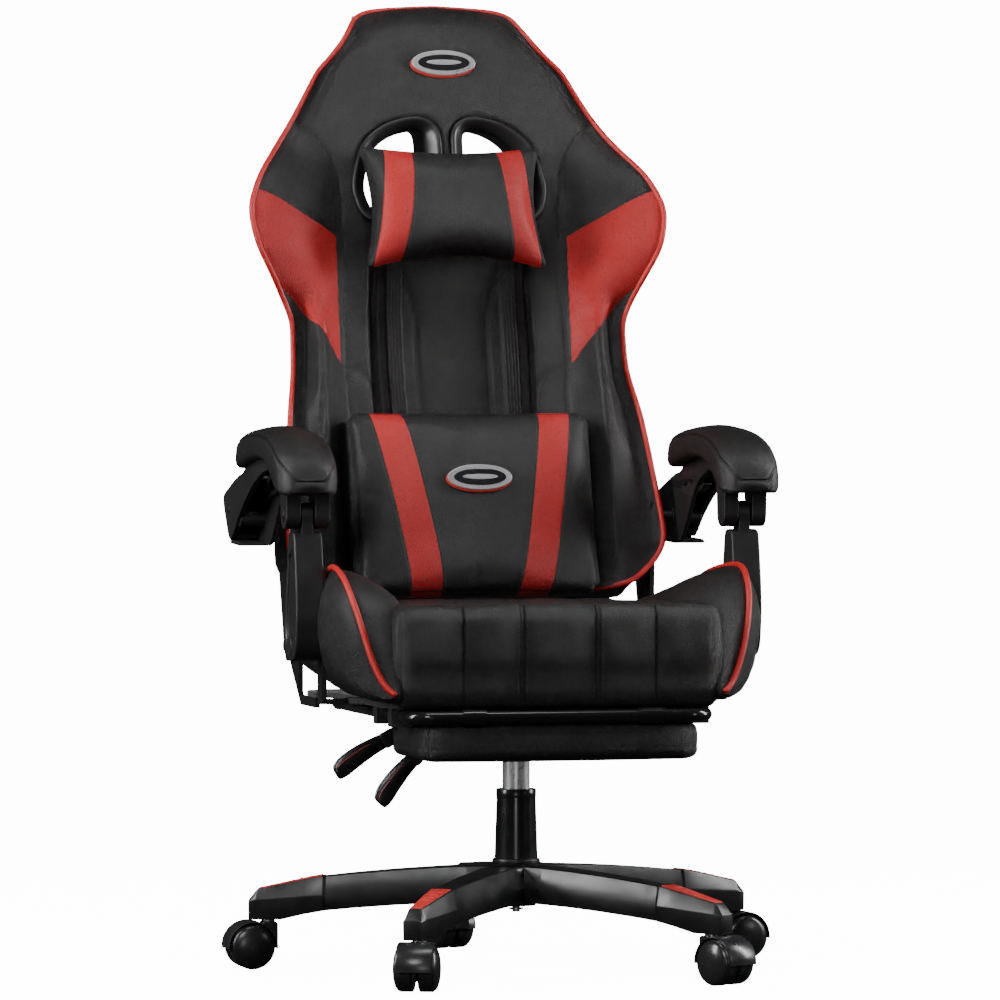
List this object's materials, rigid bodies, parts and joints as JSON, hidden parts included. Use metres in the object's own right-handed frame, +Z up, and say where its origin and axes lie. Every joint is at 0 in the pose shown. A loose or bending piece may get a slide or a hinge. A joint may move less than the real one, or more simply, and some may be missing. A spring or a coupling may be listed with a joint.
{
  "type": "gaming chair",
  "caption": "High-backed gaming chair with bucket backrest, linked padded armrests, slide-out footrest, loose head and lumbar pillows, gas lift and a star base on casters.",
  "frame": {"origin": "on the column's axis, at the floor", "axes": "+Z up; the sitter faces -Y; +X is on the sitter's left hand"},
  "size_m": [0.6948, 0.7968, 1.2126],
  "materials": {
    "base_plastic": "satin moulded nylon, charcoal",
    "red_plastic": "satin moulded plastic, red",
    "bright_steel": "zinc plated steel",
    "chrome": "hard chromed, polished",
    "black_steel": "black powder coat, fine texture",
    "gloss_black_tube": "gloss black stove enamel",
    "nylon_bush": "natural nylon",
    "caster_plastic": "semi-gloss moulded plastic, dark grey",
    "caster_tread": "hard nylon wheel with polyurethane tread",
    "arm_plastic": "fine textured moulded plastic, black",
    "bezel_plastic": "satin black moulded plastic",
    "seat_board": "plywood, sealed, with a black dust cover",
    "black_leather": "fine grained coated leather, black, over foam",
    "back_leather": "fine grained coated leather, black, over foam and frame",
    "red_leather": "fine grained coated leather, red",
    "stitching": "bonded thread",
    "badge": "stamped aluminium badge",
    "elastic": "woven elastic strap"
  },
  "bodies": {
    "base": {"star_base": "base_plastic", "base_arm_inserts": "red_plastic", "caster_stems": "bright_steel", "gas_lift_housing": "black_steel", "guide_bushing": "nylon_bush", "thrust_bearing": "bright_steel", "rod_clip": "bright_steel"},
    "caster_1": {"caster_1_fork": "caster_plastic"},
    "caster_1_roller_a": {"caster_1_wheel_a": "caster_tread"},
    "caster_1_roller_b": {"caster_1_wheel_b": "caster_tread"},
    "caster_2": {"caster_2_fork": "caster_plastic"},
    "caster_2_roller_a": {"caster_2_wheel_a": "caster_tread"},
    "caster_2_roller_b": {"caster_2_wheel_b": "caster_tread"},
    "caster_3": {"caster_3_fork": "caster_plastic"},
    "caster_3_roller_a": {"caster_3_wheel_a": "caster_tread"},
    "caster_3_roller_b": {"caster_3_wheel_b": "caster_tread"},
    "caster_4": {"caster_4_fork": "caster_plastic"},
    "caster_4_roller_a": {"caster_4_wheel_a": "caster_tread"},
    "caster_4_roller_b": {"caster_4_wheel_b": "caster_tread"},
    "caster_5": {"caster_5_fork": "caster_plastic"},
    "caster_5_roller_a": {"caster_5_wheel_a": "caster_tread"},
    "caster_5_roller_b": {"caster_5_wheel_b": "caster_tread"},
    "lift_rod": {"piston_rod": "bright_steel"},
    "seat": {"gas_cylinder": "chrome", "tilt_mechanism": "black_steel", "mechanism_bolts": "bright_steel", "seat_pan": "seat_board", "seat_cushion": "black_leather", "seat_bolster_left": "black_leather", "seat_bolster_right": "black_leather", "recline_bracket_left": "black_steel", "recline_bracket_right": "black_steel", "strut_bracket_left": "black_steel", "strut_bracket_right": "black_steel", "seat_pivot_pins": "bright_steel", "footrest_guides": "arm_plastic"},
    "release": {"release_pin": "bright_steel"},
    "height_lever": {"height_lever_rod": "black_steel", "height_lever_grip": "arm_plastic"},
    "recline_lever": {"recline_lever_rod": "black_steel", "recline_lever_grip": "arm_plastic"},
    "back": {"back_cushion": "black_leather", "back_shell": "back_leather", "head_window_bezel_left": "bezel_plastic", "head_window_bezel_right": "bezel_plastic", "back_bracket_left": "black_steel", "back_bracket_right": "black_steel", "arm_pivot_pins": "bright_steel"},
    "arm_left": {"armrest_pad_left": "black_leather", "armrest_support_left": "arm_plastic"},
    "arm_right": {"armrest_pad_right": "black_leather", "armrest_support_right": "arm_plastic"},
    "strut_left": {"armrest_strut_left": "arm_plastic"},
    "strut_right": {"armrest_strut_right": "arm_plastic"},
    "footrest": {"footrest_frame": "gloss_black_tube", "footrest_end_caps": "arm_plastic"},
    "footrest_board": {"footrest_pad": "black_leather", "footrest_hinge_clips": "arm_plastic"},
    "head_rest": {"head_pillow": "black_leather"},
    "lumbar_rest": {"lumbar_pillow": "black_leather"}
  },
  "joints": [
    {"name": "caster_1_swivel", "type": "hinge", "parent": "base", "child": "caster_1", "pos_m": [0, 0.309, 0.056], "axis": [0, 0, 1], "continuous": true},
    {"name": "caster_1_roll_a", "type": "hinge", "parent": "caster_1", "child": "caster_1_roller_a", "pos_m": [-0.00787, 0.33061, 0.028], "axis": [-0.9397, -0.342, 0], "continuous": true},
    {"name": "caster_1_roll_b", "type": "hinge", "parent": "caster_1", "child": "caster_1_roller_b", "pos_m": [-0.00787, 0.33061, 0.028], "axis": [-0.9397, -0.342, 0], "continuous": true},
    {"name": "caster_2_swivel", "type": "hinge", "parent": "base", "child": "caster_2", "pos_m": [-0.29388, 0.09549, 0.056], "axis": [0, 0, 1], "continuous": true},
    {"name": "caster_2_roll_a", "type": "hinge", "parent": "caster_2", "child": "caster_2_roller_a", "pos_m": [-0.31688, 0.09549, 0.028], "axis": [0, -1, 0], "continuous": true},
    {"name": "caster_2_roll_b", "type": "hinge", "parent": "caster_2", "child": "caster_2_roller_b", "pos_m": [-0.31688, 0.09549, 0.028], "axis": [0, -1, 0], "continuous": true},
    {"name": "caster_3_swivel", "type": "hinge", "parent": "base", "child": "caster_3", "pos_m": [-0.18163, -0.24999, 0.056], "axis": [0, 0, 1], "continuous": true},
    {"name": "caster_3_roll_a", "type": "hinge", "parent": "caster_3", "child": "caster_3_roller_a", "pos_m": [-0.18987, -0.27146, 0.028], "axis": [0.9336, -0.3584, 0], "continuous": true},
    {"name": "caster_3_roll_b", "type": "hinge", "parent": "caster_3", "child": "caster_3_roller_b", "pos_m": [-0.18987, -0.27146, 0.028], "axis": [0.9336, -0.3584, 0], "continuous": true},
    {"name": "caster_4_swivel", "type": "hinge", "parent": "base", "child": "caster_4", "pos_m": [0.18163, -0.24999, 0.056], "axis": [0, 0, 1], "continuous": true},
    {"name": "caster_4_roll_a", "type": "hinge", "parent": "caster_4", "child": "caster_4_roller_a", "pos_m": [0.19313, -0.26991, 0.028], "axis": [0.866, 0.5, 0], "continuous": true},
    {"name": "caster_4_roll_b", "type": "hinge", "parent": "caster_4", "child": "caster_4_roller_b", "pos_m": [0.19313, -0.26991, 0.028], "axis": [0.866, 0.5, 0], "continuous": true},
    {"name": "caster_5_swivel", "type": "hinge", "parent": "base", "child": "caster_5", "pos_m": [0.29388, 0.09549, 0.056], "axis": [0, 0, 1], "continuous": true},
    {"name": "caster_5_roll_a", "type": "hinge", "parent": "caster_5", "child": "caster_5_roller_a", "pos_m": [0.31675, 0.09789, 0.028], "axis": [-0.1045, 0.9945, 0], "continuous": true},
    {"name": "caster_5_roll_b", "type": "hinge", "parent": "caster_5", "child": "caster_5_roller_b", "pos_m": [0.31675, 0.09789, 0.028], "axis": [-0.1045, 0.9945, 0], "continuous": true},
    {"name": "seat_swivel", "type": "hinge", "parent": "base", "child": "lift_rod", "pos_m": [0, 0, 0.15], "axis": [0, 0, 1], "continuous": true},
    {"name": "seat_lift", "type": "slide", "parent": "lift_rod", "child": "seat", "axis": [0, 0, 1], "range_m": [-0.05, 0.03]},
    {"name": "height_lever_pull", "type": "hinge", "parent": "seat", "child": "height_lever", "pos_m": [-0.04, 0.052, 0.3], "axis": [0, 1, 0], "range_deg": [0, 12], "stiffness_Nm_per_rad": 1.5},
    {"name": "release_pin_press", "type": "slide", "parent": "seat", "child": "release", "axis": [0, 0, -1], "range_m": [0, 0.0042], "stiffness_N_per_m": 400},
    {"name": "recline_lever_pull", "type": "hinge", "parent": "seat", "child": "recline_lever", "pos_m": [-0.04, -0.008, 0.29], "axis": [0, 1, 0], "range_deg": [0, 12], "stiffness_Nm_per_rad": 1.5},
    {"name": "recline", "type": "hinge", "parent": "seat", "child": "back", "pos_m": [0, 0.243, 0.395], "axis": [-1, 0, 0], "range_deg": [0, 45]},
    {"name": "arm_left_level", "type": "hinge", "parent": "back", "child": "arm_left", "pos_m": [-0.28, 0.235, 0.556], "axis": [1, 0, 0], "range_deg": [0, 45]},
    {"name": "strut_left_swing", "type": "hinge", "parent": "seat", "child": "strut_left", "pos_m": [-0.277, -0.038, 0.405], "axis": [-1, 0, 0], "range_deg": [0, 45]},
    {"name": "arm_right_level", "type": "hinge", "parent": "back", "child": "arm_right", "pos_m": [0.28, 0.235, 0.556], "axis": [1, 0, 0], "range_deg": [0, 45]},
    {"name": "strut_right_swing", "type": "hinge", "parent": "seat", "child": "strut_right", "pos_m": [0.277, -0.038, 0.405], "axis": [-1, 0, 0], "range_deg": [0, 45]},
    {"name": "footrest_slide", "type": "slide", "parent": "seat", "child": "footrest", "axis": [0, -1, 0], "range_m": [0, 0.235]},
    {"name": "footrest_flip", "type": "hinge", "parent": "footrest", "child": "footrest_board", "pos_m": [0, -0.232, 0.325], "axis": [-1, 0, 0], "range_deg": [0, 180]},
    {"name": "head_pillow_slide", "type": "slide", "parent": "back", "child": "head_rest", "axis": [0, 0.2924, 0.9563], "range_m": [-0.025, 0.04]},
    {"name": "lumbar_pillow_slide", "type": "slide", "parent": "back", "child": "lumbar_rest", "axis": [0, 0.2924, 0.9563], "range_m": [0, 0.06]}
  ],
  "couplings": [
    {"joint": "release_pin_press", "follows": "height_lever_pull", "m_per_rad": 0.0195},
    {"joint": "arm_left_level", "follows": "recline", "ratio": 1},
    {"joint": "strut_left_swing", "follows": "recline", "ratio": 1},
    {"joint": "arm_right_level", "follows": "recline", "ratio": 1},
    {"joint": "strut_right_swing", "follows": "recline", "ratio": 1}
  ]
}
